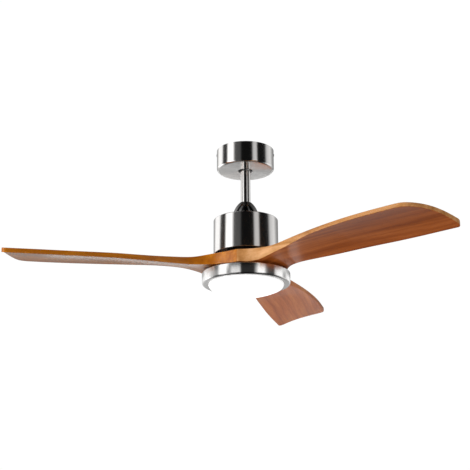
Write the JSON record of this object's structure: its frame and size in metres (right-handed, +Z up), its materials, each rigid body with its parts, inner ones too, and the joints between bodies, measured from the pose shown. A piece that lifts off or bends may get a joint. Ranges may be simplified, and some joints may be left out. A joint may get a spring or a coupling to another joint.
{
  "type": "ceiling fan with light",
  "caption": "Downrod ceiling fan with carved wooden blades, brushed nickel canopy and motor housing, and a round opal light below the hub.",
  "frame": {"origin": "centre of the bracket's slotted bolt pattern, on the ceiling plane", "axes": "+Z up, out of the ceiling face; +X along the bracket and its slots; the fan hangs below the origin"},
  "size_m": [1.1344, 1.1449, 0.421],
  "materials": {
    "nickel": "brushed nickel plate on drawn steel",
    "polished_steel": "polished nickel plate",
    "black_nickel": "dark glossy nickel plate",
    "wood": "satin lacquer on carved solid wood",
    "opal": "opal white, lit from within",
    "zinc_steel": "bright zinc plate",
    "screw_steel": "zinc plate",
    "nylon": "moulded nylon",
    "black_paint": "black paint",
    "cast_yoke": "cast, machined bore",
    "bearing_steel": "ground",
    "laminations": "stacked laminations",
    "copper": "enamelled copper wire",
    "ferrite": "sintered ferrite",
    "rubber": "rubber sheet",
    "white_plastic": "moulded plastic",
    "lead_sheath": "flexible sheath",
    "white_paint": "white powder coat",
    "board": "white solder mask on aluminium",
    "led": "phosphor-coated lamp"
  },
  "bodies": {
    "ceiling": {"ceiling_bracket": "zinc_steel", "canopy_shell": "nickel", "canopy_screws": "screw_steel", "receiver_box": "white_plastic", "terminal_block": "white_plastic"},
    "hanger": {"hanger_ball": "nylon", "hanger_pin": "zinc_steel", "ball_set_screw": "screw_steel", "downrod": "polished_steel", "supply_leads": "lead_sheath", "yoke_cover": "black_nickel", "motor_yoke": "cast_yoke", "clevis_pin": "zinc_steel", "cotter_pin": "zinc_steel", "yoke_set_screws": "screw_steel", "motor_housing": "nickel", "housing_screws": "screw_steel", "motor_shaft": "zinc_steel", "stator_core": "laminations", "stator_windings": "copper", "light_ring": "nickel", "light_bracket": "zinc_steel", "shaft_nut": "zinc_steel", "light_kit_screws": "screw_steel", "tray_standoffs": "zinc_steel", "led_driver": "white_plastic", "light_connector": "white_plastic", "led_tray": "white_paint", "tray_screws": "screw_steel", "led_board": "board", "led_chips": "led"},
    "rotor": {"upper_bearing": "bearing_steel", "lower_bearing": "bearing_steel", "rotor_upper_shell": "black_paint", "rotor_lower_shell": "black_paint", "rotor_ring": "zinc_steel", "rotor_magnets": "ferrite", "rotor_screws": "screw_steel", "blade_plate": "black_paint", "plate_screws": "screw_steel", "blade_gasket": "rubber", "blade_left": "wood", "blade_right": "wood", "blade_back": "wood", "blade_washers": "zinc_steel", "blade_screws": "screw_steel"},
    "diffuser": {"diffuser": "opal"}
  },
  "joints": [
    {"name": "hanger_tilt", "type": "hinge", "parent": "ceiling", "child": "hanger", "pos_m": [0, 0, -0.034], "axis": [0, 1, 0], "range_deg": [-12, 12]},
    {"name": "rotor_spin", "type": "hinge", "parent": "hanger", "child": "rotor", "pos_m": [0, 0, -0.34], "axis": [0, 0, 1], "continuous": true},
    {"name": "diffuser_twist", "type": "hinge", "parent": "hanger", "child": "diffuser", "pos_m": [0, 0, -0.39], "axis": [0, 0, 1], "range_deg": [0, 25]}
  ]
}
